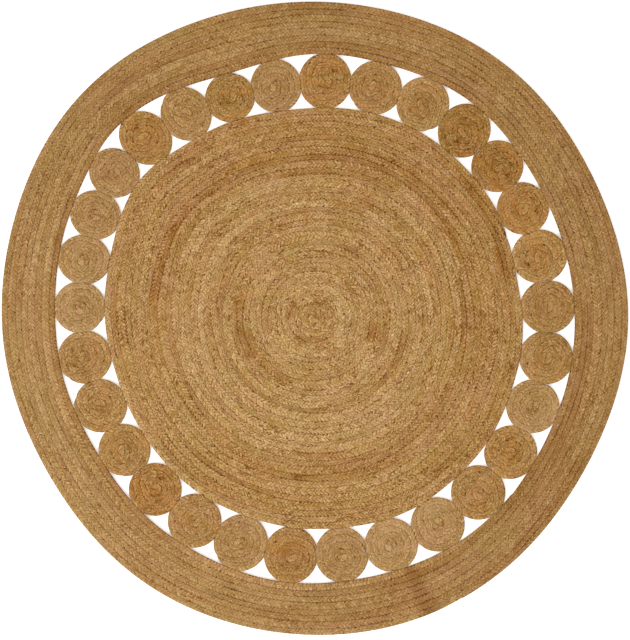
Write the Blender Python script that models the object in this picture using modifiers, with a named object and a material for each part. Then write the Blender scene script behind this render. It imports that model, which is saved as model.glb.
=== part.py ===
"""A round jute rug, lying flat.

A three-strand jute braid is wound flat into a large centre coil, thirty small medallion coils and a
border coil, and the coils are sewn together edge to edge. Each coil is one solid: its upper side has a
ridge for every row of braid and its underside lies flat on the floor. The openings in the rug are the
three-cornered spaces left between the round medallions.
"""

import math
from collections import namedtuple

import bpy
import numpy as np

# Driving dimensions, in metres. Every width of the rug is counted in rows of one braid.
ROW = 0.0155
CROWN_HEIGHT = 0.009
VALLEY_HEIGHT = 0.0055
SIDE_HEIGHT = 0.004
SIDE_TUCK = 0.003
SEAM = 0.0003

CENTRE_ROWS = 32
MEDALLION_ROWS = 4
BORDER_ROWS = 8
MEDALLIONS = 30

# The medallions are squeezed into a ring a little narrower than they are. Each is wound a little wider
# than its place, and is pressed flat where it is sewn on.
SQUEEZE = 0.0014
SWELL_TO_BORDER = 1.045
SWELL_TO_NEIGHBOUR = 1.05

# Facets round each coil. In the first two every medallion's middle meets a corner.
CENTRE_STEPS = MEDALLIONS
BORDER_STEPS = 4 * MEDALLIONS
MEDALLION_STEPS = 16

CENTRE_RADIUS = (CENTRE_ROWS + 0.5) * ROW
MEDALLION_RADIUS = MEDALLION_ROWS * ROW
BORDER_RADIUS = CENTRE_RADIUS + 2 * MEDALLION_RADIUS - SQUEEZE
RIM_RADIUS = BORDER_RADIUS + BORDER_ROWS * ROW

# Handmade unevenness, as waves round the rug: lobes in one round, height, and the angle of a crest.
Wave = namedtuple("Wave", "lobes height crest")
CENTRE_WAVES = (
    Wave(1, 0.0040, 120),
    Wave(2, 0.0070, -115),
    Wave(3, 0.0050, 115),
    Wave(4, 0.0055, -150),
    Wave(5, 0.0015, -10),
    Wave(7, 0.0010, -110),
    Wave(9, 0.0010, -100),
    Wave(10, 0.0010, 10),
    Wave(12, 0.0010, -50),
)
BORDER_WAVES = (
    Wave(1, 0.0025, 110),
    Wave(2, 0.0080, -130),
    Wave(3, 0.0060, 105),
    Wave(4, 0.0050, -135),
    Wave(5, 0.0025, -30),
    Wave(6, 0.0025, 70),
    Wave(7, 0.0015, -100),
    Wave(8, 0.0020, -5),
    Wave(9, 0.0010, 110),
    Wave(10, 0.0015, 180),
    Wave(11, 0.0010, -45),
)
RIM_WAVES = (
    Wave(1, 0.0059, 124),
    Wave(2, 0.0082, -143),
    Wave(3, 0.0061, 80),
    Wave(4, 0.0014, -139),
    Wave(5, 0.0020, -22),
    Wave(6, 0.0025, 7),
    Wave(7, 0.0010, -80),
    Wave(8, 0.0010, 30),
)
# How far the medallions have slid round from even spacing: these heights are in degrees.
SLIDE_WAVES = (
    Wave(1, 2.7, 24),
    Wave(2, 0.8, 149),
    Wave(3, 0.5, -39),
    Wave(4, 0.25, 60),
    Wave(6, 0.15, 100),
)
FIRST_MEDALLION_DEG = 13.1

# One place where two medallions are pushed out against the border.
PUSH_DEG = 139
PUSH = 0.006
PUSH_SPREAD_DEG = 9

# The jute of each medallion, in order round the rug: p pale straw, h honey, b brown.
MEDALLION_JUTE = "bbbbhhbpbhbpppphhhbhphppphbphh"
JUTE_SRGB = {
    "centre": (173, 132, 81),
    "border": (165, 125, 76),
    "p": (171, 132, 84),
    "h": (168, 125, 74),
    "b": (161, 118, 67),
}
JUTE_ROUGHNESS = 0.9

SMOOTH_UNDER_DEG = 30
WELD = 0.00001
SETTLING_ROUNDS = 8


def wave_sum(waves, angle):
    return sum(wave.height * np.cos(wave.lobes * angle - math.radians(wave.crest)) for wave in waves)


def push(angle):
    """How far the one bulge moves both edges out: a narrow bell."""
    away = (angle - math.radians(PUSH_DEG) + math.pi) % math.tau - math.pi
    return PUSH * np.exp(-((away / math.radians(PUSH_SPREAD_DEG)) ** 2))


def centre_edge(angle):
    return CENTRE_RADIUS + wave_sum(CENTRE_WAVES, angle) + push(angle)


def border_edge(angle):
    return BORDER_RADIUS + wave_sum(BORDER_WAVES, angle) + push(angle)


def rim_edge(angle):
    return RIM_RADIUS + wave_sum(RIM_WAVES, angle)


def slid(even_angle):
    """Turns an evenly spaced angle to where the sewn rug has it. Medallions sit at whole steps."""
    return even_angle + np.radians(FIRST_MEDALLION_DEG + wave_sum(SLIDE_WAVES, even_angle))


def even_angles(count):
    return np.arange(count) * math.tau / count


def rug_middle():
    """The middle of the outline's box, measured from the middle of the centre coil."""
    angle = slid(even_angles(BORDER_STEPS))
    corners = np.stack([rim_edge(angle) * np.cos(angle), rim_edge(angle) * np.sin(angle)])
    return (corners.max(axis=1) + corners.min(axis=1)) / 2


def ridges(first_valley, rows):
    """(radius, height) of each row's crown, with the valleys between the rows."""
    points = []
    for row in range(rows):
        points.append((first_valley + (row + 0.5) * ROW, CROWN_HEIGHT))
        points.append((first_valley + (row + 1) * ROW, VALLEY_HEIGHT))
    return points[:-1]


def outer_side(radius):
    return [(radius, SIDE_HEIGHT), (radius - SIDE_TUCK, 0)]


def centre_profile():
    """From the button in the middle, half a row in radius, out over the rows and back underneath."""
    rows = ridges(ROW / 2, CENTRE_ROWS)
    return [(0, CROWN_HEIGHT), (ROW / 2, VALLEY_HEIGHT)] + rows + outer_side(CENTRE_RADIUS) + [(0, 0)]


def medallion_profile():
    """From the dimple inside the first turn, out over the rows and back underneath."""
    rows = ridges(0, MEDALLION_ROWS)
    return [(0, VALLEY_HEIGHT)] + rows + outer_side(MEDALLION_RADIUS) + [(0, 0)]


def border_profile():
    """The closed section of the border, from its inner foot up and over the rows."""
    inner_side = [(BORDER_RADIUS + SIDE_TUCK, 0), (BORDER_RADIUS, SIDE_HEIGHT)]
    return inner_side + ridges(BORDER_RADIUS, BORDER_ROWS) + outer_side(RIM_RADIUS)


def turned(name, profile, steps, closed=False):
    """The profile, turned a full round about Z into a mesh."""
    count = len(profile)
    line = bpy.data.meshes.new(name + "_profile")
    edges = [(point, (point + 1) % count) for point in range(count if closed else count - 1)]
    line.from_pydata([(radius, 0, height) for radius, height in profile], edges, [])
    lathe = bpy.data.objects.new(name + "_lathe", line)
    bpy.context.scene.collection.objects.link(lathe)
    screw = lathe.modifiers.new("Turn", "SCREW")
    screw.steps = screw.render_steps = steps
    screw.use_merge_vertices = True
    screw.merge_threshold = WELD
    bpy.context.view_layer.update()
    evaluated = lathe.evaluated_get(bpy.context.evaluated_depsgraph_get())
    mesh = bpy.data.meshes.new_from_object(evaluated)
    mesh.name = name
    bpy.data.objects.remove(lathe)
    return mesh


def reshape(mesh, place):
    """Moves each point of a turned mesh to the radius and angle that place gives for its own."""
    points = np.empty(len(mesh.vertices) * 3)
    mesh.vertices.foreach_get("co", points)
    x, y, height = points.reshape(-1, 3).T
    radius, angle = place(np.hypot(x, y), np.arctan2(y, x) % math.tau)
    moved = np.stack([radius * np.cos(angle), radius * np.sin(angle), height], axis=1)
    mesh.vertices.foreach_set("co", moved.ravel())
    mesh.shade_smooth()
    mesh.set_sharp_from_angle(angle=math.radians(SMOOTH_UNDER_DEG))
    mesh.update()


def jute(name, srgb):
    linear = [((value / 255 + 0.055) / 1.055) ** 2.4 for value in srgb]
    material = bpy.data.materials.new(name)
    material.use_nodes = True
    shader = material.node_tree.nodes["Principled BSDF"]
    shader.inputs["Base Color"].default_value = (*linear, 1)
    shader.inputs["Roughness"].default_value = JUTE_ROUGHNESS
    shader.inputs["Metallic"].default_value = 0
    return material


def add_piece(mesh, material, rug):
    mesh.materials.clear()
    mesh.materials.append(material)
    piece = bpy.data.objects.new(mesh.name, mesh)
    piece.parent = rug
    bpy.data.collections["round_jute_rug"].objects.link(piece)
    return piece


def add_centre(rug):
    """The large middle coil. The further out a row lies, the more it follows the uneven edge."""

    def place(radius, even_angle):
        angle = slid(even_angle)
        uneven = centre_edge(angle) - CENTRE_RADIUS
        return radius + uneven * (radius / CENTRE_RADIUS) ** 2, angle

    mesh = turned("centre_coil", centre_profile(), CENTRE_STEPS)
    reshape(mesh, place)
    add_piece(mesh, jute("centre_jute", JUTE_SRGB["centre"]), rug)


def add_border(rug):
    """The outer coil. Its rows share out the uneven width between its two edges."""

    def place(radius, even_angle):
        angle = slid(even_angle)
        share = (radius - BORDER_RADIUS) / (RIM_RADIUS - BORDER_RADIUS)
        return border_edge(angle) * (1 - share) + rim_edge(angle) * share, angle

    mesh = turned("border_coil", border_profile(), BORDER_STEPS, closed=True)
    reshape(mesh, place)
    add_piece(mesh, jute("border_jute", JUTE_SRGB["border"]), rug)


def medallion_centres():
    """Each medallion's middle, half way between the two edges, and its angle round the rug."""
    angle = slid(even_angles(MEDALLIONS))
    radius = (centre_edge(angle) + border_edge(angle)) / 2
    return np.stack([radius * np.cos(angle), radius * np.sin(angle)], axis=1), angle


def medallion_reach(centre, heading, neighbours, direction):
    """How far a medallion reaches from its centre in each direction.

    It is an oval, longer towards the border, cut straight half way to each neighbour and drawn in
    wherever it would run over the centre coil or the border.
    """
    spacing = np.hypot(*(neighbours - centre).T)
    sideways = SWELL_TO_NEIGHBOUR * spacing.mean() / 2
    outwards = SWELL_TO_BORDER * (border_edge(heading) - centre_edge(heading)) / 2
    turn = direction - heading
    reach = sideways * outwards / np.hypot(sideways * np.cos(turn), outwards * np.sin(turn))
    for neighbour, distance in zip(neighbours, spacing):
        facing = np.cos(direction - math.atan2(*(neighbour - centre)[::-1]))
        flat = (distance - SEAM) / 2
        reach = np.where(facing * reach > flat, flat / np.maximum(facing, flat / reach), reach)
    for edge, outward in ((centre_edge, -1), (border_edge, 1)):
        for _ in range(SETTLING_ROUNDS):
            x = centre[0] + reach * np.cos(direction)
            y = centre[1] + reach * np.sin(direction)
            overrun = outward * (np.hypot(x, y) - edge(np.arctan2(y, x))) + SEAM
            reach = reach - np.maximum(overrun, 0)
    return reach


def add_medallions(rug):
    """Thirty small coils. Each is turned round, then its outer rows take the pressed outline."""
    centres, headings = medallion_centres()
    shades = {letter: jute("medallion_jute_" + letter, JUTE_SRGB[letter]) for letter in "phb"}
    for index in range(MEDALLIONS):
        centre = centres[index]
        heading = headings[index]
        neighbours = centres[[index - 1, (index + 1) % MEDALLIONS]]

        def place(radius, angle):
            reach = medallion_reach(centre, heading, neighbours, angle + heading)
            pressed = (reach / MEDALLION_RADIUS - 1) * (radius / MEDALLION_RADIUS) ** 2
            return radius * (1 + pressed), angle

        mesh = turned(f"medallion_{index + 1:02d}", medallion_profile(), MEDALLION_STEPS)
        reshape(mesh, place)
        piece = add_piece(mesh, shades[MEDALLION_JUTE[index]], rug)
        piece.location = (*centre, 0)
        piece.rotation_euler.z = heading


def clear_scene():
    for old in list(bpy.data.objects):
        bpy.data.objects.remove(old)


def main():
    clear_scene()
    parts = bpy.data.collections.new("round_jute_rug")
    bpy.context.scene.collection.children.link(parts)
    rug = bpy.data.objects.new("rug_middle", None)
    parts.objects.link(rug)
    middle = rug_middle()
    rug.location = (-middle[0], -middle[1], 0)
    add_centre(rug)
    add_medallions(rug)
    add_border(rug)


main()
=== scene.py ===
"""The looks of a round jute rug, lying flat.

One kind of three-strand braid is wound into a centre coil, thirty medallions and a border. Every coil is
the braid's own section, carried along the spiral that fills the coil from its first turn to its edge, so
each strand that comes up between its neighbours is really there. The materials read where they are on the
braid: which strand, how far along it and how far across.
"""

import math
from collections import namedtuple

import bpy
import numpy as np
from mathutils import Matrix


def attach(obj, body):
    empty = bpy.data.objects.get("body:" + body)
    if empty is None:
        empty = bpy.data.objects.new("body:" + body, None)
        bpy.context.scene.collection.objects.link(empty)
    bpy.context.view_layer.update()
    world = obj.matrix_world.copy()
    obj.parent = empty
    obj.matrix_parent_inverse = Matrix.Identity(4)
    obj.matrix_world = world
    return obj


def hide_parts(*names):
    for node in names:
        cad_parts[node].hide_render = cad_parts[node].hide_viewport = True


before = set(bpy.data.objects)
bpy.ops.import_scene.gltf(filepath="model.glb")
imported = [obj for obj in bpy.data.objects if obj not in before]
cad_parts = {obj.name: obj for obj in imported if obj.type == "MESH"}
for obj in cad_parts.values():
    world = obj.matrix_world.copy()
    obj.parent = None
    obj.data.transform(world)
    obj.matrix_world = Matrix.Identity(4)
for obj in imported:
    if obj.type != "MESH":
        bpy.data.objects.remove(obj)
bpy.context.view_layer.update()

# ---------------------------------------------------------------------------------------------- sizes
# The rug's plan, in metres, is the one that its solids have: rows of one braid, wound round a button in the
# middle, and their unevenness. Its outline has a corner at each of so many even steps round it.
ROW = 0.0155
SEAM = 0.0003
CENTRE_ROWS = 32
BUTTON_ROWS = 0.5
MEDALLION_ROWS = 4
BORDER_ROWS = 8
MEDALLIONS = 30
CORNERS = 4 * MEDALLIONS

# The ring of medallions is squeezed between the centre coil and the border. A medallion is an oval a little
# larger than its room, drawn in to it in a few rounds. How much larger comes from a scratch program's
# trials against the photograph.
SQUEEZE = 0.0014
SWELL_TO_BORDER = 1.045
SWELL_TO_NEIGHBOUR = 1.05
SETTLING_ROUNDS = 8

CENTRE_RADIUS = (CENTRE_ROWS + BUTTON_ROWS) * ROW
MEDALLION_RADIUS = MEDALLION_ROWS * ROW
BORDER_RADIUS = CENTRE_RADIUS + 2 * MEDALLION_RADIUS - SQUEEZE
RIM_RADIUS = BORDER_RADIUS + BORDER_ROWS * ROW

# Waves round the rug: lobes in one round, height, and the angle of a crest. They are a scratch program's
# least-squares fit to the edges in the photograph: the rim's almost as it printed them, and the others
# rounded to half a millimetre and 5 degrees.
Wave = namedtuple("Wave", "lobes height crest")
CENTRE_WAVES = (
    Wave(1, 0.0040, 120),
    Wave(2, 0.0070, -115),
    Wave(3, 0.0050, 115),
    Wave(4, 0.0055, -150),
    Wave(5, 0.0015, -10),
    Wave(7, 0.0010, -110),
    Wave(9, 0.0010, -100),
    Wave(10, 0.0010, 10),
    Wave(12, 0.0010, -50),
)
BORDER_WAVES = (
    Wave(1, 0.0025, 110),
    Wave(2, 0.0080, -130),
    Wave(3, 0.0060, 105),
    Wave(4, 0.0050, -135),
    Wave(5, 0.0025, -30),
    Wave(6, 0.0025, 70),
    Wave(7, 0.0015, -100),
    Wave(8, 0.0020, -5),
    Wave(9, 0.0010, 110),
    Wave(10, 0.0015, 180),
    Wave(11, 0.0010, -45),
)
RIM_WAVES = (
    Wave(1, 0.0059, 124),
    Wave(2, 0.0082, -143),
    Wave(3, 0.0061, 80),
    Wave(4, 0.0014, -139),
    Wave(5, 0.0020, -22),
    Wave(6, 0.0025, 7),
    Wave(7, 0.0010, -80),
    Wave(8, 0.0010, 30),
)

# How far the medallions slide along their ring, as waves with their height in degrees. The first three are
# a fit to the photograph as well, and the others come from the same trials as the swells. Two medallions
# are pushed out: where, how far, and over how many degrees.
SLIDE_WAVES = (
    Wave(1, 2.7, 24),
    Wave(2, 0.8, 149),
    Wave(3, 0.5, -39),
    Wave(4, 0.25, 60),
    Wave(6, 0.15, 100),
)
FIRST_MEDALLION_DEG = 13.1
PUSH_DEG = 139
PUSH = 0.006
PUSH_SPREAD_DEG = 9

# The braid. A bulge is where one strand comes up at one side; there is one every BULGE along either side,
# and a few sections of the mesh to each. A section's two sides trail behind its middle by LEAN, as a slope.
# In the hollows it is narrower by PINCH of the width. Its middle swings by ZIGZAG of the width, and rises
# twice for every bulge, to a share of the full height.
BULGE = 0.0086
STEPS = 4
LEAN = 1.0
ZIGZAG = 0.05
PINCH = 0.05
SWELL_POWER = 0.9
MIDDLE_RISE = 0.8

# Where the braid runs out it is narrower than FULL_WIDTH, in rows, and thins down to a share of its height.
# It stands a little past the edges of its coil, and its first turn covers the coil's middle. Its way is
# measured at so many places a turn.
FULL_WIDTH = 0.7
TIP_WIDTH = 0.12
THINNEST = 0.45
PAST_EDGE = 0.015
PAST_MIDDLE = 0.16
FILL_POWER = 30
SAMPLES_A_TURN = 720

# The braid's section, from its inner foot over the top to its outer foot. across is a share of the width,
# and the heights are those in the hollow between two bulges and on the crown of one.
SectionPoint = namedtuple("SectionPoint", "across hollow crown")
SECTION = (
    SectionPoint(-0.36, 0.0000, 0.0000),
    SectionPoint(-0.54, 0.0044, 0.0052),
    SectionPoint(-0.50, 0.0068, 0.0080),
    SectionPoint(-0.28, 0.0073, 0.0090),
    SectionPoint(0.00, 0.0073, 0.0088),
    SectionPoint(0.28, 0.0073, 0.0090),
    SectionPoint(0.50, 0.0068, 0.0080),
    SectionPoint(0.54, 0.0044, 0.0052),
    SectionPoint(0.36, 0.0000, 0.0000),
)

# The points above this share of the height make up the section's top.
TOP_SHARE = 0.9

# On the braid's map its feet are this far across, and its underside lies beyond them.
UNDERSIDE_MAP = 0.8

# How far the hand varies: each bulge's height and its place along the braid, as shares of its own, and how
# far the bulges run ahead or fall behind, in bulges, over a stretch of so many.
UNEVEN = 0.14
SLIP = 0.12
PACE_DRIFT = 0.6
PACE_STRETCH = 9
SEED = 31

# How each coil is wound: rows out from its inner edge, width in rows of its first tip, where the first
# turn starts, the share of a turn over which the braid steps out by a row and its ends run out, the pieces
# it is made in, the least rows out of any point, where its unevenness starts, how much its seams wander, how
# far its shoulders are pressed up to its crowns, from 0 to 1, and how strongly it is streaked. All run
# outwards clockwise.
Winding = namedtuple("Winding", "rows core start_deg step_share lengths least hand wander pressed streaked")
CENTRE_WINDING = Winding(
    rows=CENTRE_ROWS + BUTTON_ROWS,
    core=BUTTON_ROWS,
    start_deg=40,
    step_share=0.06,
    lengths=3,
    least=-PAST_MIDDLE,
    hand=0,
    wander=1.5,
    pressed=0.5,
    streaked=0.85,
)
MEDALLION_WINDING = Winding(
    rows=MEDALLION_ROWS,
    core=0,
    start_deg=0,
    step_share=0.22,
    lengths=1,
    least=-PAST_MIDDLE,
    hand=0,
    wander=1.0,
    pressed=0.0,
    streaked=0.8,
)
BORDER_WINDING = Winding(
    rows=BORDER_ROWS,
    core=0,
    start_deg=325,
    step_share=35 / 360,
    lengths=2,
    least=-PAST_EDGE,
    hand=50,
    wander=1.0,
    pressed=0.0,
    streaked=0.7,
)
CLOCKWISE = -1

# A large coil grows evenly up to so many turns, and then goes over to stepping out, within so many more.
EVEN_SPIRAL_ROWS = 22
EVEN_FADE_ROWS = 8

# How the seam between two rows wanders: waves in one turn, and height as a share of a row.
Wander = namedtuple("Wander", "waves height")
SEAM_WANDER = (
    Wander(0.37, 0.06),
    Wander(0.83, 0.06),
    Wander(1.61, 0.06),
    Wander(2.7, 0.05),
    Wander(5.3, 0.04),
)

# Slow changes of tone along a braid: how many bulges apart, and how large.
Streak = namedtuple("Streak", "bulges tone")
STREAKS = (Streak(7, 0.012), Streak(20, 0.035), Streak(70, 0.07))

# The lots of braid: a tone by rows out from the coil's inner edge, set against the brightness measured
# along the photograph's rows.
Lot = namedtuple("Lot", "rows tone")
CENTRE_LOTS = (
    Lot(0, -0.20),
    Lot(1.5, -0.07),
    Lot(4, 0.00),
    Lot(5.3, 0.065),
    Lot(6.8, 0.04),
    Lot(8, -0.01),
    Lot(12.5, 0.01),
    Lot(15, 0.02),
    Lot(18.5, 0.06),
    Lot(21.5, 0.01),
    Lot(22.6, -0.075),
    Lot(24, -0.135),
    Lot(25.3, -0.12),
    Lot(27, -0.07),
    Lot(29, -0.02),
    Lot(30.8, -0.09),
    Lot(32.5, -0.05),
)
# The border's first row, along its inner edge beside the medallions, is painted darker: painted shade.
BORDER_EDGE_SHADE = (
    Lot(0, -0.14),
    Lot(1.2, -0.01),
    Lot(2.5, 0.00),
)

# Single marks, browner or paler: rows out, between two angles, and how wide in rows. Most of their rows and
# angles are copied from what a scratch program printed for the arcs that it found in the photograph, and
# their tones start from its measures.
Mark = namedtuple("Mark", "rows from_deg to_deg width tone")
CENTRE_MARKS = (
    Mark(1.2, 355, 391, 0.5, -0.20),
    Mark(1.2, 276, 304, 0.5, 0.25),
    Mark(2.8, 76, 92, 0.5, -0.25),
    Mark(3.5, 100, 131, 0.5, 0.12),
    Mark(3.5, 246, 303, 0.5, -0.16),
    Mark(4.0, 0, 42, 0.5, 0.18),
    Mark(4.0, 143, 184, 0.5, -0.25),
    Mark(4.0, 224, 246, 0.5, -0.34),
    Mark(4.2, 322, 341, 0.8, 0.14),
    Mark(5.5, 290, 308, 0.5, -0.16),
    Mark(7.0, 32, 54, 0.5, -0.22),
    Mark(7.5, 200, 248, 1.1, 0.14),
    Mark(8.8, 314, 334, 0.5, 0.12),
    Mark(9.0, 335, 356, 0.8, -0.24),
    Mark(9.2, 129, 160, 0.5, 0.13),
    Mark(10.0, 314, 340, 0.5, 0.26),
    Mark(10.6, 190, 248, 0.8, -0.24),
    Mark(11.2, 281, 325, 0.5, 0.19),
    Mark(11.6, 160, 212, 0.8, -0.22),
    Mark(12.0, 52, 69, 0.5, -0.16),
    Mark(12.5, 249, 281, 0.6, 0.15),
    Mark(13.8, 314, 351, 1.0, -0.18),
    Mark(17.8, 65, 85, 0.5, -0.26),
    Mark(20.0, 63, 69, 6.0, -0.06),
    Mark(21.0, 262, 280, 0.6, -0.18),
    Mark(21.5, 343, 363, 0.6, -0.12),
    Mark(22.5, 84, 106, 0.4, -0.22),
    Mark(23.2, 16, 57, 0.6, 0.18),
    Mark(24.4, 20, 36, 0.45, -0.22),
    Mark(24.8, 130, 175, 0.5, -0.15),
    Mark(25.0, 250, 302, 1.0, -0.10),
    Mark(25.5, 179, 231, 0.6, 0.11),
    Mark(26.5, 257, 301, 0.5, 0.15),
    Mark(26.6, 31, 83, 0.5, -0.18),
    Mark(27.9, 229, 253, 0.45, -0.17),
    Mark(29.2, 306, 320, 1.2, -0.12),
    Mark(31.0, 12, 45, 0.9, -0.15),
    Mark(31.2, 119, 135, 0.8, -0.10),
)
BORDER_MARKS = (
    Mark(0.9, 154, 173, 0.5, -0.10),
    Mark(1.6, 103, 127, 0.4, -0.08),
    Mark(1.6, 136, 174, 0.6, 0.08),
    Mark(1.6, 178, 204, 0.6, 0.10),
    Mark(1.6, 313, 364, 0.9, -0.17),
    Mark(1.7, 74, 96, 0.5, -0.12),
    Mark(2.2, 284, 302, 0.8, -0.20),
    Mark(2.4, 96, 117, 0.5, 0.09),
    Mark(2.9, 305, 343, 0.9, -0.08),
    Mark(4.4, 111, 140, 0.5, -0.17),
    Mark(4.7, 76, 93, 0.5, -0.13),
    Mark(5.4, 252, 288, 0.6, -0.08),
    Mark(5.4, 296, 361, 0.4, 0.09),
    Mark(6.9, 300, 334, 1.0, -0.11),
    Mark(4.0, 130, 290, 9.0, -0.04),
    Mark(4.0, 292, 338, 9.0, -0.03),
    Mark(4.0, 68, 135, 9.0, -0.025),
)

# Painted shade at the creases across the border: their angle, and how wide in degrees, measured in the
# photograph.
CreaseShade = namedtuple("CreaseShade", "deg width tone")
CREASE_SHADES = (
    CreaseShade(26, 1.4, -0.05),
    CreaseShade(57, 1.6, -0.06),
    CreaseShade(134, 3.0, -0.04),
    CreaseShade(235, 1.2, -0.07),
    CreaseShade(291, 1.4, -0.38),
    CreaseShade(330, 2.0, -0.05),
)

# A mark's two ends fade over this angle.
MARK_SOFT_DEG = 8

# Painted light: the rug is painted paler towards one side, the one its key light comes from: the tone gained
# by each metre that way.
LIT_SIDE_DEG = 230
PAINTED_LIGHT_BY_METRE = 0.085

# The jute of each medallion, by its letter in FINISHES, its own tone, and what its middle gains or loses on
# that: 5 is even, 9 palest. Both are the brightness measured in the photograph, cut down to a digit. The
# middle's tone goes over to its own between so many rows out.
MEDALLION_JUTE = "bbbbhhbpbhbpppphhhrhphppphbphh"
MEDALLION_TONES = "650689837835515421341034644747"
MIDDLE_TONES = "873020152065336422317077355423"
EVEN_TONE = 5
TONE_STEP = 0.022
MEDALLION_MIDDLE_ROWS = 1.2
MEDALLION_EVEN_ROWS = 2.6


# ----------------------------------------------------------------------------------------- the rug's plan
def wave_sum(waves, angle):
    """The sum of each wave's height times the cosine of its lobes times the angle, less its crest's."""
    return sum(wave.height * np.cos(wave.lobes * angle - math.radians(wave.crest)) for wave in waves)


def push(angle):
    """One narrow bell, where two medallions are pushed out: e to minus the square of the angle away."""
    away = (angle - math.radians(PUSH_DEG) + math.pi) % math.tau - math.pi
    return PUSH * np.exp(-((away / math.radians(PUSH_SPREAD_DEG)) ** 2))


def centre_edge(angle):
    """The centre coil's radius at each angle: a circle, its waves and the push."""
    return CENTRE_RADIUS + wave_sum(CENTRE_WAVES, angle) + push(angle)


def border_edge(angle):
    """The radius of the border's inner edge, made in the same way."""
    return BORDER_RADIUS + wave_sum(BORDER_WAVES, angle) + push(angle)


def rim_edge(angle):
    """The radius of the rug's rim: a circle and its waves."""
    return RIM_RADIUS + wave_sum(RIM_WAVES, angle)


def slid(even_angle):
    """Where a medallion of that even angle has slid to: turned to the first one's place, plus waves."""
    return even_angle + np.radians(FIRST_MEDALLION_DEG + wave_sum(SLIDE_WAVES, even_angle))


def even_angles(count):
    """A full round, shared out evenly."""
    return np.arange(count) * math.tau / count


def polar(radius, angle):
    """Points in the plane: radius times the cosine, and radius times the sine."""
    return np.stack([radius * np.cos(angle), radius * np.sin(angle)], axis=-1)


def rug_middle():
    """The middle of the outline's box, measured from the middle of the centre coil."""
    angle = slid(even_angles(CORNERS))
    corners = polar(rim_edge(angle), angle)
    return (corners.max(axis=0) + corners.min(axis=0)) / 2


MIDDLE = rug_middle()


def centre_place(rows, angle):
    """Plan of the centre coil: a row follows the uneven edge by the square of its share of the radius."""
    radius = rows * ROW
    uneven = (centre_edge(angle) - CENTRE_RADIUS) * (radius / CENTRE_RADIUS) ** 2
    return polar(radius + uneven, angle) - MIDDLE


def border_place(rows, angle):
    """Plan of the border: its rows share out the width between its two uneven edges."""
    share = rows / BORDER_ROWS
    return polar(border_edge(angle) * (1 - share) + rim_edge(angle) * share, angle) - MIDDLE


def medallion_centres():
    """The middles of the medallions, half way between the centre coil and the border, and their angles."""
    angle = slid(even_angles(MEDALLIONS))
    return polar((centre_edge(angle) + border_edge(angle)) / 2, angle), angle


def medallion_reach(centre, heading, neighbours, direction):
    """How far a medallion reaches in each direction.

    It is an oval, cut straight half way to each neighbour and drawn in wherever it would run over the
    centre coil or the border. The oval's reach is the product of its two half widths over the root of the
    sum of two squares: the sideways one times the cosine of the turn from the medallion's own heading, and
    the outward one times its sine.
    """
    spacing = np.hypot(*(neighbours - centre).T)
    sideways = SWELL_TO_NEIGHBOUR * spacing.mean() / 2
    outwards = SWELL_TO_BORDER * (border_edge(heading) - centre_edge(heading)) / 2
    turn = direction - heading
    reach = sideways * outwards / np.hypot(sideways * np.cos(turn), outwards * np.sin(turn))
    for neighbour, distance in zip(neighbours, spacing):
        facing = np.cos(direction - math.atan2(*(neighbour - centre)[::-1]))
        flat = (distance - SEAM) / 2
        reach = np.where(facing * reach > flat, flat / np.maximum(facing, flat / reach), reach)
    for edge, outward in ((centre_edge, -1), (border_edge, 1)):
        for _ in range(SETTLING_ROUNDS):
            x = centre[0] + reach * np.cos(direction)
            y = centre[1] + reach * np.sin(direction)
            overrun = outward * (np.hypot(x, y) - edge(np.arctan2(y, x))) + SEAM
            reach = reach - np.maximum(overrun, 0)
    return reach


def medallion_place(centre, heading, neighbours):
    """Plan of one medallion: a row is pressed to its outline by the square of its share of the radius."""

    def place(rows, angle):
        direction = angle + heading
        reach = medallion_reach(centre, heading, neighbours, direction)
        pressed = (reach / MEDALLION_RADIUS - 1) * (rows / MEDALLION_ROWS) ** 2
        return centre + polar(rows * ROW * (1 + pressed), direction) - MIDDLE

    return place


# ------------------------------------------------------------------------------------------- the braid
def ease(share):
    """A soft step: 3 s^2 - 2 s^3 of the share, held between 0 and 1."""
    share = np.clip(share, 0, 1)
    return share * share * (3 - 2 * share)


def inner_side(winding, turn):
    """Rows from the coil's inner edge to the braid's inner side, after that many turns.

    It gains a row each turn: in the outer rows within the first share of the turn, and in the inner rows
    of a large coil evenly. During the first turn nothing lies inside it, and it moves out to the core by a
    high power of the turn. Between the coil's edges it wanders by a few waves that don't repeat from turn
    to turn.
    """
    stepped = np.floor(turn) + ease((turn % 1) / winding.step_share)
    if winding.rows > EVEN_SPIRAL_ROWS:
        late = ease((turn - EVEN_SPIRAL_ROWS) / EVEN_FADE_ROWS)
        stepped = turn + late * (stepped - turn)
    first_turn = winding.least + (winding.core - winding.least) * np.clip(turn, 0, 1) ** FILL_POWER
    side = np.where(turn < 1, first_turn, stepped - 1 + winding.core)
    room = np.clip(np.minimum(side - winding.core, winding.rows - side), 0, 1)
    place = math.tau * (turn + winding.hand)
    wander = sum(wave.height * np.sin(wave.waves * place) for wave in SEAM_WANDER)
    return side + room * winding.wander * wander


def reached(winding, turn):
    """The angle that the spiral has reached after that many turns."""
    return math.radians(winding.start_deg) + CLOCKWISE * math.tau * turn


def braid_sides(winding, turn):
    """Rows out to the braid's inner and outer side: the outer one is where the next turn will lie."""
    inner = np.minimum(inner_side(winding, turn), winding.rows)
    outer = np.minimum(inner_side(winding, turn + 1), winding.rows)
    return inner, outer


def swell(phase):
    """Height of a strand between two hollows, 0 to 1: half a sine wave for each whole step of phase."""
    return np.abs(np.sin(math.pi * phase)) ** SWELL_POWER


def angle_away(angle, degrees):
    """How far each angle is from one given in degrees, the shorter way round."""
    return np.abs((angle - math.radians(degrees) + math.pi) % math.tau - math.pi)


def streaks(phase, random):
    """A tone along the braid: for each size, random values at even distances, joined by straight lines."""
    tone = np.zeros(len(phase))
    for streak in STREAKS:
        knots = random.standard_normal(int(phase[-1] / streak.bulges) + 3)
        tone += streak.tone * np.interp(phase / streak.bulges, np.arange(len(knots)), knots)
    return tone


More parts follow.
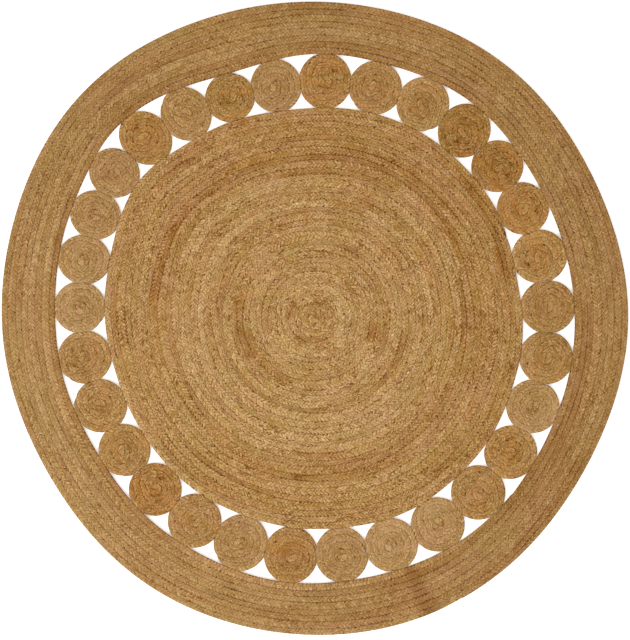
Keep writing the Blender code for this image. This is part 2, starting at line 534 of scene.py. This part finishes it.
def lit_side_tone(x, y):
    """Painted light: a tone that rises evenly towards the side of the rug that the key light comes from."""
    side = math.radians(LIT_SIDE_DEG)
    return PAINTED_LIGHT_BY_METRE * (x * math.cos(side) + y * math.sin(side))


def lots_and_marks(lots, marks, creases):
    """A tone by rows out and angle: the lots, the marks as bells over the rows and the painted shade of the
    creases over angles.

    A bell is e to the power of minus the square of the distance over the width.
    """

    def tone(rows, angle):
        total = np.interp(rows, [lot.rows for lot in lots], [lot.tone for lot in lots])
        for mark in marks:
            away = angle_away(angle, (mark.from_deg + mark.to_deg) / 2)
            half = math.radians((mark.to_deg - mark.from_deg) / 2)
            along = ease((half - away) / math.radians(MARK_SOFT_DEG) + 0.5)
            total += mark.tone * along * np.exp(-(((rows - mark.rows) / mark.width) ** 2))
        # Painted shade along each crease across the border.
        for crease in creases:
            away = angle_away(angle, crease.deg) / math.radians(crease.width)
            total += crease.tone * np.exp(-(away**2))
        return total

    return tone


def spiral(winding, place):
    """The line along the middle of the braid: turns, and the way travelled to each, as the sum of its steps.

    The last turn steps out of the coil, and is left off where the braid gets narrower than its tip.
    """
    tips = winding.rows - winding.core + winding.step_share
    turn = np.linspace(0, tips, int(tips * SAMPLES_A_TURN))
    inner, outer = braid_sides(winding, turn)
    kept = outer - inner > TIP_WIDTH
    turn, inner, outer = turn[kept], inner[kept], outer[kept]
    line = place((inner + outer) / 2, reached(winding, turn))
    steps = np.hypot(*np.diff(line, axis=0).T)
    return turn, np.concatenate([[0], np.cumsum(steps)])


def section_heights(pressed):
    """The section's heights in a hollow and on a crown, with its top evened out by the share pressed."""
    hollow = np.array([point.hollow for point in SECTION])
    crown = np.array([point.crown for point in SECTION])
    top = hollow > TOP_SHARE * hollow.max()
    hollow = np.where(top, hollow + pressed * (hollow.max() - hollow), hollow)
    crown = np.where(top, crown + pressed * (crown.max() - crown), crown)
    return hollow, crown


def one_a_bulge(number, outer_side, bulges, random):
    """A random number for each bulge of either side, at every point of the grid."""
    outside, inside = random.standard_normal((2, bulges + 2))
    return np.where(outer_side, outside[number], inside[number])


def pace(phase, bulges, random):
    """How far the bulges run ahead, in bulges: random values at even distances, joined by straight lines,
    and none at either end."""
    knots = np.append(np.append(0, random.standard_normal(bulges // PACE_STRETCH)), 0)
    return PACE_DRIFT * np.interp(phase / bulges, np.linspace(0, 1, len(knots)), knots)


def wind(winding, place, tone, random):
    """The braid's surface: its section carried along the spiral, as a grid of points.

    Each line of the grid is one section, bent into a V that points forward, because the strands lean in
    towards the middle. At both sides the height rises and falls once for every bulge, and the two sides
    are half a bulge apart. A height is the hollow's, plus the rise times the way from there to the crown.
    Returns the points and their tones, each section's phase in bulges, and the braid's length.
    """
    turn, travelled = spiral(winding, place)
    bulges = int(travelled[-1] / BULGE)
    phase = np.arange(bulges * STEPS + 1) / STEPS
    across = np.array([point.across for point in SECTION])
    hollow, crown = section_heights(winding.pressed)
    outer_side = across > 0
    middle = across == 0

    side_phase = phase[:, None] + np.where(outer_side, 0.5, 0)
    rise = swell(side_phase)
    rise[:, middle] = swell(2 * phase)[:, None] * MIDDLE_RISE
    number = np.floor(side_phase).astype(int)
    size = 1 + UNEVEN * one_a_bulge(number, outer_side, bulges, random)
    slip = one_a_bulge(number, outer_side, bulges, random) * SLIP * BULGE * rise

    forward = ((phase + pace(phase, bulges, random)) * travelled[-1] / bulges)[:, None]
    bent = np.clip(np.interp(forward, travelled, turn), 0, 1)
    forward = forward + (slip - LEAN * np.abs(across) * ROW) * bent
    turn_at = np.interp(forward, travelled, turn)
    inner, outer = braid_sides(winding, turn_at)
    width = outer - inner
    swing = ZIGZAG * np.cos(math.tau * phase)[:, None] * middle
    pinched = across * (1 - PINCH * (1 - rise)) + swing
    rows = np.clip(inner + width * (0.5 + pinched), winding.least, winding.rows + PAST_EDGE)

    angle = reached(winding, turn_at)
    thin = THINNEST + (1 - THINNEST) * ease(width / FULL_WIDTH)
    height = (hollow + (crown - hollow) * rise * size) * thin
    plan = place(rows, angle)
    # Painted light: the tones rise towards one side of the rug.
    tones = tone(rows, angle) + lit_side_tone(plan[..., 0], plan[..., 1])
    tones = tones + winding.streaked * streaks(phase, random)[:, None]
    return np.dstack([plan, height]), tones, phase, travelled[-1]


def braid_mesh(name, points, tones, phase):
    """Joins the grid of sections into a closed tube, with a UV map of (phase, share across)."""
    sections, around = points.shape[:2]
    across = np.array([point.across for point in SECTION])
    across[[0, -1]] = (-UNDERSIDE_MAP, UNDERSIDE_MAP)
    corner = np.arange(sections * around).reshape(sections, around)
    after = np.roll(corner, -1, axis=1)
    quads = np.stack([corner[:-1], corner[1:], after[1:], after[:-1]], axis=-1).reshape(-1, 4)
    caps = np.concatenate([corner[0], corner[-1][::-1]])

    left = np.tile(across, sections - 1)
    right = np.tile(np.append(across[1:], 2 - UNDERSIDE_MAP), sections - 1)
    near = np.repeat(phase[:-1], around)
    far = np.repeat(phase[1:], around)
    quad_map = np.stack([near, left, far, left, far, right, near, right], axis=-1)
    cap_map = np.stack([np.repeat(phase[[0, -1]], around), np.append(across, across[::-1])], axis=-1)

    mesh = bpy.data.meshes.new(name)
    mesh.vertices.add(sections * around)
    mesh.vertices.foreach_set("co", points.ravel())
    mesh.loops.add(quads.size + caps.size)
    mesh.loops.foreach_set("vertex_index", np.append(quads.ravel(), caps))
    mesh.polygons.add(len(quads) + 2)
    starts = np.append(np.arange(len(quads)) * 4, quads.size + np.arange(2) * around)
    mesh.polygons.foreach_set("loop_start", starts)
    mesh.update(calc_edges=True)
    layer = mesh.uv_layers.new(name="braid")
    layer.uv.foreach_set("vector", np.append(quad_map.ravel(), cap_map.ravel()).astype(np.float32))
    shade = mesh.attributes.new("tone", "FLOAT", "POINT")
    shade.data.foreach_set("value", tones.ravel().astype(np.float32))
    mesh.shade_smooth()
    mesh.validate()
    return mesh


def add_coil(names, winding, place, tone, material, node, random):
    """Winds one coil and adds it in as many lengths of braid as it has names."""
    points, tones, phase, length = wind(winding, place, tone, random)
    bulges = (len(phase) - 1) // STEPS
    ends = [round(bulges * share / len(names)) * STEPS for share in range(len(names) + 1)]
    for name, first, last in zip(names, ends, ends[1:]):
        kept = slice(first, last + 1)
        mesh = braid_mesh(name, points[kept], tones[kept], phase[kept])
        mesh.materials.append(material)
        piece = bpy.data.objects.new(name, mesh)
        bpy.context.scene.collection.objects.link(piece)
        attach(piece, "root")
        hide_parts(node)


# ------------------------------------------------------------------------------------ shader node groups
MIX_FACTOR = 0
MIX_COLOURS = (6, 7)
MIXED_COLOUR = 2


class Tree:
    """Adds nodes to a node tree. An input may be a number, a colour or another node's socket."""

    def __init__(self, tree):
        self.tree = tree

    def add(self, kind, inputs=(), **settings):
        node = self.tree.nodes.new("ShaderNode" + kind)
        for name, value in settings.items():
            setattr(node, name, value)
        for name, value in dict(inputs).items():
            self.feed(node.inputs[name], value)
        return node

    def feed(self, socket, value):
        if isinstance(value, bpy.types.NodeSocket):
            self.tree.links.new(value, socket)
        else:
            socket.default_value = value

    def maths(self, operation, *values):
        return self.add("Math", enumerate(values), operation=operation).outputs[0]

    def times(self, first, second):
        return self.maths("MULTIPLY", first, second)

    def times_plus(self, first, second, third):
        """The first times the second, plus the third."""
        return self.maths("MULTIPLY_ADD", first, second, third)

    def vectors(self, operation, *values):
        return self.add("VectorMath", enumerate(values), operation=operation).outputs

    def vector(self, x, y, z=0.0):
        """Three numbers as one place. For noise, a z that no other noise has makes it one of its own."""
        return self.add("CombineXYZ", {"X": x, "Y": y, "Z": z}).outputs[0]

    def parts(self, vector):
        return self.add("SeparateXYZ", {"Vector": vector}).outputs

    def noise(self, vector, scale=1.0, detail=2.0, roughness=0.5):
        inputs = {"Vector": vector, "Scale": scale, "Detail": detail, "Roughness": roughness}
        return self.add("TexNoise", inputs).outputs[0]

    def one_each(self, vector):
        """A random number from 0 to 1 that every different place has for itself."""
        return self.add("TexWhiteNoise", {"Vector": vector}, noise_dimensions="3D").outputs["Value"]

    def spread(self, value, low, high, to_low=0.0, to_high=1.0):
        """The value's place between low and high, as a soft step between two other numbers."""
        node = self.add("MapRange", interpolation_type="SMOOTHSTEP")
        for socket, number in zip(node.inputs[:5], (value, low, high, to_low, to_high)):
            self.feed(socket, number)
        return node.outputs[0]

    def mix(self, factor, first, second):
        """A colour between two colours. A Mix node's colours have sockets of their own, given by number."""
        node = self.add("Mix", data_type="RGBA")
        for number, value in zip((MIX_FACTOR, *MIX_COLOURS), (factor, first, second)):
            self.feed(node.inputs[number], value)
        return node.outputs[MIXED_COLOUR]

    def ramp(self, value, colours):
        """A colour from a row of colours at even steps from 0 to 1."""
        node = self.add("ValToRGB", {"Fac": value})
        stops = node.color_ramp.elements
        for step in range(1, len(colours) - 1):
            stops.new(step / (len(colours) - 1))
        for stop, colour in zip(stops, colours):
            stop.color = colour
        return node.outputs["Color"]


def new_group(name, takes, gives):
    """An empty shader node group with named sockets, and a Tree to fill it."""
    group = bpy.data.node_groups.new(name, "ShaderNodeTree")
    for socket, (kind, value) in takes.items():
        made = group.interface.new_socket(socket, in_out="INPUT", socket_type="NodeSocket" + kind)
        made.default_value = value
    for socket in gives:
        group.interface.new_socket(socket, in_out="OUTPUT", socket_type="NodeSocketFloat")
    tree = Tree(group)
    start = group.nodes.new("NodeGroupInput").outputs
    end = group.nodes.new("NodeGroupOutput").inputs
    return group, tree, start, end


NOWHERE = (0.0, 0.0, 0.0)

# How often the noises repeat along the braid, in patches a bulge.
STRAND_PATCHES = 0.16
FLECK_PATCHES = 0.55
FLECK_BUNCHES = 0.11
LOOSE_LENGTHS = 0.05
SEAM_LENGTHS = 0.025
FLUFF_PATCHES = 3.8

# How often they repeat over the braid's width, and how far apart the noise of one strand or yarn is taken
# from the next one's.
FLECKS_ACROSS = 4.5
FLUFF_ACROSS = 5.5
STRANDS_APART = 5.3
YARNS_APART = 5.37
FIRST_YARN = 0.4

# How much looser the braid is for each step of slow tone: looser where it is brown. Where it is looser,
# more painted shade falls in its hollows and pits.
LOOSE_WITH_TONE = -0.6

# How often fibres change from one side of a strand to the other, along it, and from bulge to bulge.
FIBRES_ACROSS = 7.0
FIBRES_ALONG = 5.0
FIBRES_APART = 3.7

# Patches of tint, large and small: how many to a unit of direction and to a metre outwards, and how much
# each size counts.
Patches = namedtuple("Patches", "around outwards share")
LARGE_PATCHES = Patches(2.5, 28.0, 0.45)
SMALL_PATCHES = Patches(7.0, 75.0, 0.55)


def strands_group():
    """Which strand shows at a place on the braid.

    The two sides are half a bulge apart, and along each side the three strands come up in turn. Crosswise
    goes from -1 to 1 over the strand, and Edge from 0 in the braid's middle to 1 at its side.
    """
    takes = {"Braid": ("Vector", NOWHERE)}
    group, tree, start, end = new_group("Plait strands", takes, ("Bulge", "Strand", "Crosswise", "Edge"))
    place = tree.parts(start["Braid"])
    outer = tree.maths("GREATER_THAN", place["Y"], 0.0)
    phase = tree.times_plus(outer, 0.5, place["X"])
    number = tree.maths("FLOOR", phase)
    past = tree.maths("SUBTRACT", phase, number)
    tree.feed(end["Bulge"], tree.times_plus(outer, 0.5, number))
    tree.feed(end["Strand"], tree.maths("MODULO", tree.times_plus(outer, 2.0, number), 3.0))
    tree.feed(end["Crosswise"], tree.times_plus(past, 2.0, -1.0))
    tree.feed(end["Edge"], tree.times(tree.maths("ABSOLUTE", place["Y"]), 2.0))
    return group


def hollow_shade_group():
    """Painted shade: how deep a place lies between its neighbours, from 0 on a crown to 1 in a hollow.

    Each hollow between two bulges has its own depth of painted shade, and a few have a painted shadow at
    their outer end, as if they opened into a pit. These are half the given share, and up to five and a half
    times it where the braid is loose: along some lengths, and where it is brown. Between rows the painted
    shade is deep only along some lengths, and where it is loose.
    """
    takes = {
        "Braid": ("Vector", NOWHERE),
        "Slow Tone": ("Float", 0.0),
        "Bulge": ("Float", 0.0),
        "Crosswise": ("Float", 0.0),
        "Edge": ("Float", 0.0),
        "Coil": ("Float", 0.0),
        "Between Strands": ("Float", 0.45),
        "Between Rows": ("Float", 0.35),
        "Pit Share": ("Float", 0.08),
    }
    group, tree, start, end = new_group("Hollow shade", takes, ("Depth",))
    place = tree.parts(start["Braid"])
    crosswise = tree.maths("ABSOLUTE", start["Crosswise"])
    ahead = tree.maths("GREATER_THAN", start["Crosswise"], 0.0)
    own = tree.one_each(tree.vector(tree.maths("ADD", start["Bulge"], ahead), start["Coil"], 9.0))
    # Painted shade between strands, each hollow to its own depth.
    strands = tree.times(tree.spread(crosswise, 0.5, 1.0), start["Between Strands"])
    strands = tree.times(strands, tree.maths("ADD", own, 0.5))

    loose = tree.vector(tree.times(place["X"], LOOSE_LENGTHS), start["Coil"], 7.0)
    loose = tree.times_plus(start["Slow Tone"], LOOSE_WITH_TONE, tree.noise(loose, detail=1.0))
    loose = tree.spread(loose, 0.56, 0.7)
    # Painted shadows in pits: dark spots at the outer corners of a few hollows.
    outwards = tree.spread(start["Edge"], 0.4, 0.75)
    short_of_side = tree.spread(start["Edge"], 1.0, 1.15, 0.85, 0.0)
    corner = tree.times(tree.spread(crosswise, 0.35, 0.7), tree.times(outwards, short_of_side))
    share = tree.times(tree.times_plus(loose, 5.0, 0.5), start["Pit Share"])
    pits = tree.times(corner, tree.maths("LESS_THAN", own, share))

    # Painted shade between rows, along some lengths and where the braid is loose.
    side = tree.maths("SIGN", place["Y"])
    lengths = tree.vector(tree.times(place["X"], SEAM_LENGTHS), side, start["Coil"])
    lengths = tree.spread(tree.noise(lengths, detail=4.0, roughness=0.6), 0.48, 0.64, 0.06, 1.0)
    rows = tree.times(tree.spread(start["Edge"], 0.45, 1.0), start["Between Rows"])
    rows = tree.times(rows, tree.maths("MAXIMUM", lengths, loose))
    tree.feed(end["Depth"], tree.maths("MAXIMUM", tree.maths("MAXIMUM", strands, rows), pits))
    return group


def grain_group():
    """The yarns that a strand is made of, and the fibres along them: relief, and paler and darker lines.

    A yarn's relief is half a sine wave. Fluff is a noise that follows the braid instead of the strand.
    """
    takes = {
        "Braid": ("Vector", NOWHERE),
        "Bulge": ("Float", 0.0),
        "Crosswise": ("Float", 0.0),
        "Yarns": ("Float", 3.0),
        "Fineness": ("Float", 1.0),
    }
    group, tree, start, end = new_group("Jute grain", takes, ("Relief", "Lines", "Yarn Shade"))
    place = tree.parts(start["Braid"])
    counted = tree.times(tree.times_plus(start["Crosswise"], 0.5, 0.5), start["Yarns"])
    yarn = tree.maths("FLOOR", counted)
    yarns = tree.maths("SINE", tree.times(tree.maths("SUBTRACT", counted, yarn), math.pi))
    fibres_along = tree.times(place["Y"], FIBRES_ALONG)
    fibres_apart = tree.times(start["Bulge"], FIBRES_APART)

    each = tree.one_each(tree.vector(start["Bulge"], yarn, 2.0))
    along = tree.vector(tree.times_plus(yarn, YARNS_APART, FIRST_YARN), fibres_along, fibres_apart)
    along = tree.spread(tree.noise(along, detail=1.0), 0.25, 0.75)
    tree.feed(end["Yarn Shade"], tree.times_plus(each, 0.5, tree.times(along, 0.5)))

    lines = tree.vector(tree.times(start["Crosswise"], FIBRES_ACROSS), fibres_along, fibres_apart)
    lines = tree.noise(lines, start["Fineness"], detail=4.0, roughness=0.65)
    fluff = tree.vector(tree.times(place["X"], FLUFF_PATCHES), tree.times(place["Y"], FLUFF_ACROSS))
    fluff = tree.noise(fluff, start["Fineness"], detail=4.0, roughness=0.75)
    relief = tree.times_plus(yarns, 0.45, tree.times(lines, 0.55))
    tree.feed(end["Relief"], tree.times_plus(fluff, 0.3, relief))
    tree.feed(end["Lines"], tree.times_plus(fluff, 0.75, tree.times(lines, 0.25)))
    return group


def shades_group():
    """How the jute's shade changes: along each strand, from bulge to bulge, and in short dark flecks."""
    takes = {
        "Braid": ("Vector", NOWHERE),
        "Bulge": ("Float", 0.0),
        "Strand": ("Float", 0.0),
        "Coil": ("Float", 0.0),
        "Fleck Share": ("Float", 0.0),
    }
    group, tree, start, end = new_group("Jute shades", takes, ("Strand Shade", "Bulge Shade", "Flecks"))
    place = tree.parts(start["Braid"])
    apart = tree.times_plus(start["Strand"], STRANDS_APART, start["Coil"])
    slow = tree.vector(tree.times(place["X"], STRAND_PATCHES), apart)
    tree.feed(end["Strand Shade"], tree.noise(slow))
    tree.feed(end["Bulge Shade"], tree.one_each(tree.vector(start["Bulge"], start["Coil"])))

    bunch = tree.noise(tree.vector(tree.times(place["X"], FLECK_BUNCHES), start["Coil"], 4.0))
    fleck_across = tree.times(place["Y"], FLECKS_ACROSS)
    short = tree.vector(tree.times(place["X"], FLECK_PATCHES), fleck_across, apart)
    short = tree.noise(short, detail=3.0, roughness=0.6)
    level = tree.times_plus(bunch, 0.45, tree.maths("ADD", short, start["Fleck Share"]))
    tree.feed(end["Flecks"], tree.spread(level, 0.86, 0.96, 0.0, 0.9))
    return group


def drift_group():
    """Patches of tint, longer round the rug than across it.

    They are noise over the direction from the rug's middle and the distance from it.
    """
    takes = {"Place": ("Vector", NOWHERE)}
    group, tree, start, end = new_group("Tint drift", takes, ("Warm", "Green", "Pink"))
    direction = tree.vectors("NORMALIZE", start["Place"])[0]
    distance = tree.vectors("LENGTH", start["Place"])["Value"]
    for name, shift in (("Warm", 0.0), ("Green", 13.1), ("Pink", 27.7)):
        noises = []
        for patches in (LARGE_PATCHES, SMALL_PATCHES):
            turned = tree.vectors("MULTIPLY", direction, (patches.around, patches.around, 0.0))[0]
            moved = tree.vector(0.0, shift, tree.times(distance, patches.outwards))
            noises.append(tree.noise(tree.vectors("ADD", turned, moved)[0], detail=1.0))
        large = tree.times(noises[0], LARGE_PATCHES.share)
        both = tree.times_plus(noises[1], SMALL_PATCHES.share, large)
        tree.feed(end[name], tree.spread(both, 0.42, 0.66))
    return group


# ----------------------------------------------------------------------------------------- the materials
def linear(red, green, blue):
    """A colour given as 0 to 255 on a screen, in the linear light that shaders work in."""
    return (*(((value / 255 + 0.055) / 1.055) ** 2.4 for value in (red, green, blue)), 1.0)


# Each finish: a number that sets its patterns apart; its middle tone, from 0, deep, to 1, pale; how much of
# each tint shows; how dusty it is; how rusty its browner lengths are; how many dark flecks; how dark its
# painted shade gets between strands and between rows; the share of hollows with a painted pit shadow; how
# much one bulge differs from the next; and how strongly its fibres show.
Finish = namedtuple(
    "Finish", "name coil tone warm green pink dusty rusty flecks strands seams pits bulges fibres"
)
CENTRE_FINISH = Finish(
    name="centre_jute",
    coil=0.0,
    tone=0.46,
    warm=0.20,
    green=0.36,
    pink=0.26,
    dusty=0.00,
    rusty=0.20,
    flecks=0.06,
    strands=0.45,
    seams=0.36,
    pits=0.11,
    bulges=0.25,
    fibres=4.8,
)
BORDER_FINISH = Finish(
    name="border_jute",
    coil=40.0,
    tone=0.335,
    warm=0.16,
    green=0.30,
    pink=0.20,
    dusty=0.12,
    rusty=0.15,
    flecks=0.02,
    strands=0.38,
    seams=0.46,
    pits=0.08,
    bulges=0.18,
    fibres=3.9,
)
STRAW_FINISH = Finish(
    name="straw_jute",
    coil=80.0,
    tone=0.34,
    warm=0.16,
    green=0.26,
    pink=0.30,
    dusty=0.14,
    rusty=0.05,
    flecks=0.00,
    strands=0.28,
    seams=0.17,
    pits=0.04,
    bulges=0.12,
    fibres=3.8,
)
HONEY_FINISH = STRAW_FINISH._replace(
    name="honey_jute",
    coil=120.0,
    tone=0.27,
    warm=0.30,
    green=0.20,
    pink=0.20,
    dusty=0.06,
    rusty=0.12,
    flecks=0.01,
    pits=0.05,
)
BROWN_FINISH = STRAW_FINISH._replace(
    name="brown_jute",
    coil=160.0,
    tone=0.26,
    warm=0.38,
    green=0.20,
    pink=0.14,
    dusty=0.00,
    rusty=0.02,
    flecks=0.02,
    pits=0.07,
)
RUST_FINISH = BROWN_FINISH._replace(name="rust_jute", green=0.10, rusty=0.60, flecks=0.06)
FINISHES = {
    "centre": CENTRE_FINISH,
    "border": BORDER_FINISH,
    "p": STRAW_FINISH,
    "h": HONEY_FINISH,
    "b": BROWN_FINISH,
    "r": RUST_FINISH,
}

# The colours from deep to pale tone, the painted shade of hollows, that of flecks, and the tints.
DEEP = linear(122, 76, 2)
MID_TONE = linear(186, 148, 90)
PALE = linear(229, 195, 143)
HOLLOW_SHADE = linear(92, 44, 0)
FLECK_BROWN = linear(112, 62, 6)
WARM_TINT = linear(196, 132, 66)
GREEN_TINT = linear(170, 142, 70)
PINK_TINT = linear(204, 156, 120)
RUST = linear(172, 106, 42)
DUST = linear(168, 142, 108)

# How much the tone changes from strand to strand and from yarn to yarn, and the slow tones between which
# rust sets in.
STRAND_CONTRAST = 0.18
YARN_CONTRAST = 0.65
RUST_FROM = 0.1
RUST_TO = -0.25

# Jute is dull, and duller in its hollows. Its grain stands up by this many metres.
ROUGHNESS = 0.84
ROUGHER_IN_HOLLOWS = 0.1
SHINE = 0.1
GRAIN_HEIGHT = 0.0012
GRAIN_STRENGTH = 0.6


def jute(finish, groups):
    """Plaited jute: a tone between deep and pale, tinted in patches, browner in flecks, and with painted
    shade in its hollows.

    The tone is the finish's own, plus the slow tone, plus each shade's distance from a half times its
    strength.
    """
    material = bpy.data.materials.new(finish.name)
    material.use_nodes = True
    tree = Tree(material.node_tree)
    shader = material.node_tree.nodes["Principled BSDF"]

    def group(name, **inputs):
        node = tree.add("Group", node_tree=groups[name])
        for socket, value in inputs.items():
            tree.feed(node.inputs[socket.replace("_", " ")], value)
        return node.outputs

    braid = tree.add("UVMap", uv_map="braid").outputs[0]
    place = tree.add("TexCoord").outputs["Object"]
    # The slow tone carries painted light towards one side and painted shade at the creases and the border's
    # inner edge, besides the lots, marks and streaks.
    slow = tree.add("Attribute", attribute_name="tone").outputs["Fac"]
    strands = group("strands", Braid=braid)
    hollows = group(
        "hollows",
        Braid=braid,
        Slow_Tone=slow,
        Bulge=strands["Bulge"],
        Crosswise=strands["Crosswise"],
        Edge=strands["Edge"],
        Coil=finish.coil,
        Between_Strands=finish.strands,
        Between_Rows=finish.seams,
        Pit_Share=finish.pits,
    )
    grain = group("grain", Braid=braid, Bulge=strands["Bulge"], Crosswise=strands["Crosswise"])
    shades = group(
        "shades",
        Braid=braid,
        Bulge=strands["Bulge"],
        Strand=strands["Strand"],
        Coil=finish.coil,
        Fleck_Share=finish.flecks,
    )
    drift = group("drift", Place=place)

    tone = tree.maths("ADD", slow, finish.tone)
    for shade, strength in (
        (shades["Strand Shade"], STRAND_CONTRAST),
        (shades["Bulge Shade"], finish.bulges),
        (grain["Yarn Shade"], YARN_CONTRAST),
        (grain["Lines"], finish.fibres),
    ):
        tone = tree.times_plus(tree.maths("SUBTRACT", shade, 0.5), strength, tone)
    colour = tree.ramp(tone, (DEEP, MID_TONE, PALE))
    for mask, tint, amount in (
        ("Warm", WARM_TINT, finish.warm),
        ("Green", GREEN_TINT, finish.green),
        ("Pink", PINK_TINT, finish.pink),
    ):
        colour = tree.mix(tree.times(drift[mask], amount), colour, tint)
    colour = tree.mix(tree.spread(slow, RUST_FROM, RUST_TO, 0.0, finish.rusty), colour, RUST)
    colour = tree.mix(finish.dusty, colour, DUST)
    colour = tree.mix(shades["Flecks"], colour, FLECK_BROWN)
    # Painted shade: the hollows between strands and rows, and the pits, are painted dark brown where shade
    # would fall.
    colour = tree.mix(hollows["Depth"], colour, HOLLOW_SHADE)
    tree.feed(shader.inputs["Base Color"], colour)
    roughness = tree.times_plus(hollows["Depth"], ROUGHER_IN_HOLLOWS, ROUGHNESS)
    tree.feed(shader.inputs["Roughness"], roughness)
    shader.inputs["Specular IOR Level"].default_value = SHINE
    relief = {"Strength": GRAIN_STRENGTH, "Distance": GRAIN_HEIGHT, "Height": grain["Relief"]}
    bump = tree.add("Bump", relief)
    tree.feed(shader.inputs["Normal"], bump.outputs[0])
    return material


def make_materials():
    """One material for each finish, all from the same five groups."""
    groups = {
        "strands": strands_group(),
        "hollows": hollow_shade_group(),
        "grain": grain_group(),
        "shades": shades_group(),
        "drift": drift_group(),
    }
    return {key: jute(finish, groups) for key, finish in FINISHES.items()}


# -------------------------------------------------------------------------------------------- the pieces
def add_large_coil(name, winding, place, tone, material, random):
    """The centre coil or the border, in several lengths of braid."""
    names = [f"{name}_braid_{number + 1}" for number in range(winding.lengths)]
    add_coil(names, winding, place, tone, material, f"{name}_coil", random)


def add_medallions(materials, random):
    """Each medallion starts at its own angle and has its own unevenness, tone and jute."""
    centres, headings = medallion_centres()
    for index in range(MEDALLIONS):
        own_tone = (int(MEDALLION_TONES[index]) - EVEN_TONE) * TONE_STEP
        middle_tone = own_tone + (int(MIDDLE_TONES[index]) - EVEN_TONE) * TONE_STEP
        lots = (Lot(MEDALLION_MIDDLE_ROWS, middle_tone), Lot(MEDALLION_EVEN_ROWS, own_tone))
        tone = lots_and_marks(lots, (), ())
        jute_letter = MEDALLION_JUTE[index]
        neighbours = centres[[index - 1, (index + 1) % MEDALLIONS]]
        place = medallion_place(centres[index], headings[index], neighbours)
        winding = MEDALLION_WINDING._replace(start_deg=random.uniform(0, 360), hand=random.uniform(0, 40))
        node = f"medallion_{index + 1:02d}"
        name = f"medallion_braid_{index + 1:02d}"
        add_coil([name], winding, place, tone, materials[jute_letter], node, random)


# ------------------------------------------------------------------------------- floor, light and camera
FLOOR_SIZE = 60.0
FLOOR_WHITE = (0.93, 0.93, 0.93, 1.0)
FLOOR_GLOW = 0.35
SKY = 0.62

# The photograph is 630 by 640 pixels, and 2.385 mm of the rug shows in each. The middle of the centre coil
# is 2 pixels above the middle of the frame.
FRAME_WIDTH, FRAME_HEIGHT = 630, 640
PIXEL = 0.002385
COIL_ABOVE_MIDDLE = 2
CAMERA_HEIGHT = 5.0
SENSOR = 0.036

Lamp = namedtuple("Lamp", "name x y z size watts")
LAMPS = (
    Lamp("key_light", -3.2, -3.7, 5.7, 4.0, 375),
    Lamp("fill_light", 2.4, 2.6, 5.6, 4.8, 80),
)


def add_floor():
    mesh = bpy.data.meshes.new("floor")
    half = FLOOR_SIZE / 2
    corners = [(-half, -half, 0), (half, -half, 0), (half, half, 0), (-half, half, 0)]
    mesh.from_pydata(corners, [], [(0, 1, 2, 3)])
    floor = bpy.data.objects.new("floor", mesh)
    bpy.context.scene.collection.objects.link(floor)
    material = bpy.data.materials.new("pale_floor")
    material.use_nodes = True
    shader = material.node_tree.nodes["Principled BSDF"]
    shader.inputs["Base Color"].default_value = FLOOR_WHITE
    shader.inputs["Roughness"].default_value = 0.9
    shader.inputs["Specular IOR Level"].default_value = 0.0
    shader.inputs["Emission Color"].default_value = (1.0, 1.0, 1.0, 1.0)
    shader.inputs["Emission Strength"].default_value = FLOOR_GLOW
    mesh.materials.append(material)


def add_light():
    world = bpy.data.worlds.new("studio")
    world.use_nodes = True
    world.node_tree.nodes["Background"].inputs["Color"].default_value = (1.0, 1.0, 1.0, 1.0)
    world.node_tree.nodes["Background"].inputs["Strength"].default_value = SKY
    bpy.context.scene.world = world
    for lamp in LAMPS:
        light = bpy.data.lights.new(lamp.name, "AREA")
        light.shape = "DISK"
        light.size = lamp.size
        light.energy = lamp.watts
        holder = bpy.data.objects.new(lamp.name, light)
        holder.location = (lamp.x, lamp.y, lamp.z)
        towards = -holder.location
        holder.rotation_euler = towards.to_track_quat("-Z", "Y").to_euler()
        holder.visible_camera = False
        bpy.context.scene.collection.objects.link(holder)


def add_camera():
    """Straight above the rug, with a long lens that just takes in the photograph's frame."""
    camera = bpy.data.cameras.new("camera")
    camera.sensor_width = SENSOR * 1000
    camera.lens = camera.sensor_width * CAMERA_HEIGHT / (FRAME_HEIGHT * PIXEL)
    holder = bpy.data.objects.new("camera", camera)
    holder.location = (-MIDDLE[0], -MIDDLE[1] - COIL_ABOVE_MIDDLE * PIXEL, CAMERA_HEIGHT)
    bpy.context.scene.collection.objects.link(holder)
    bpy.context.scene.camera = holder


def main():
    bpy.context.scene.view_settings.view_transform = "Standard"
    random = np.random.default_rng(SEED)
    materials = make_materials()
    add_camera()
    add_floor()
    add_light()
    centre_tone = lots_and_marks(CENTRE_LOTS, CENTRE_MARKS, ())
    border_tone = lots_and_marks(BORDER_EDGE_SHADE, BORDER_MARKS, CREASE_SHADES)
    add_large_coil("centre", CENTRE_WINDING, centre_place, centre_tone, materials["centre"], random)
    add_medallions(materials, random)
    add_large_coil("border", BORDER_WINDING, border_place, border_tone, materials["border"], random)


main()
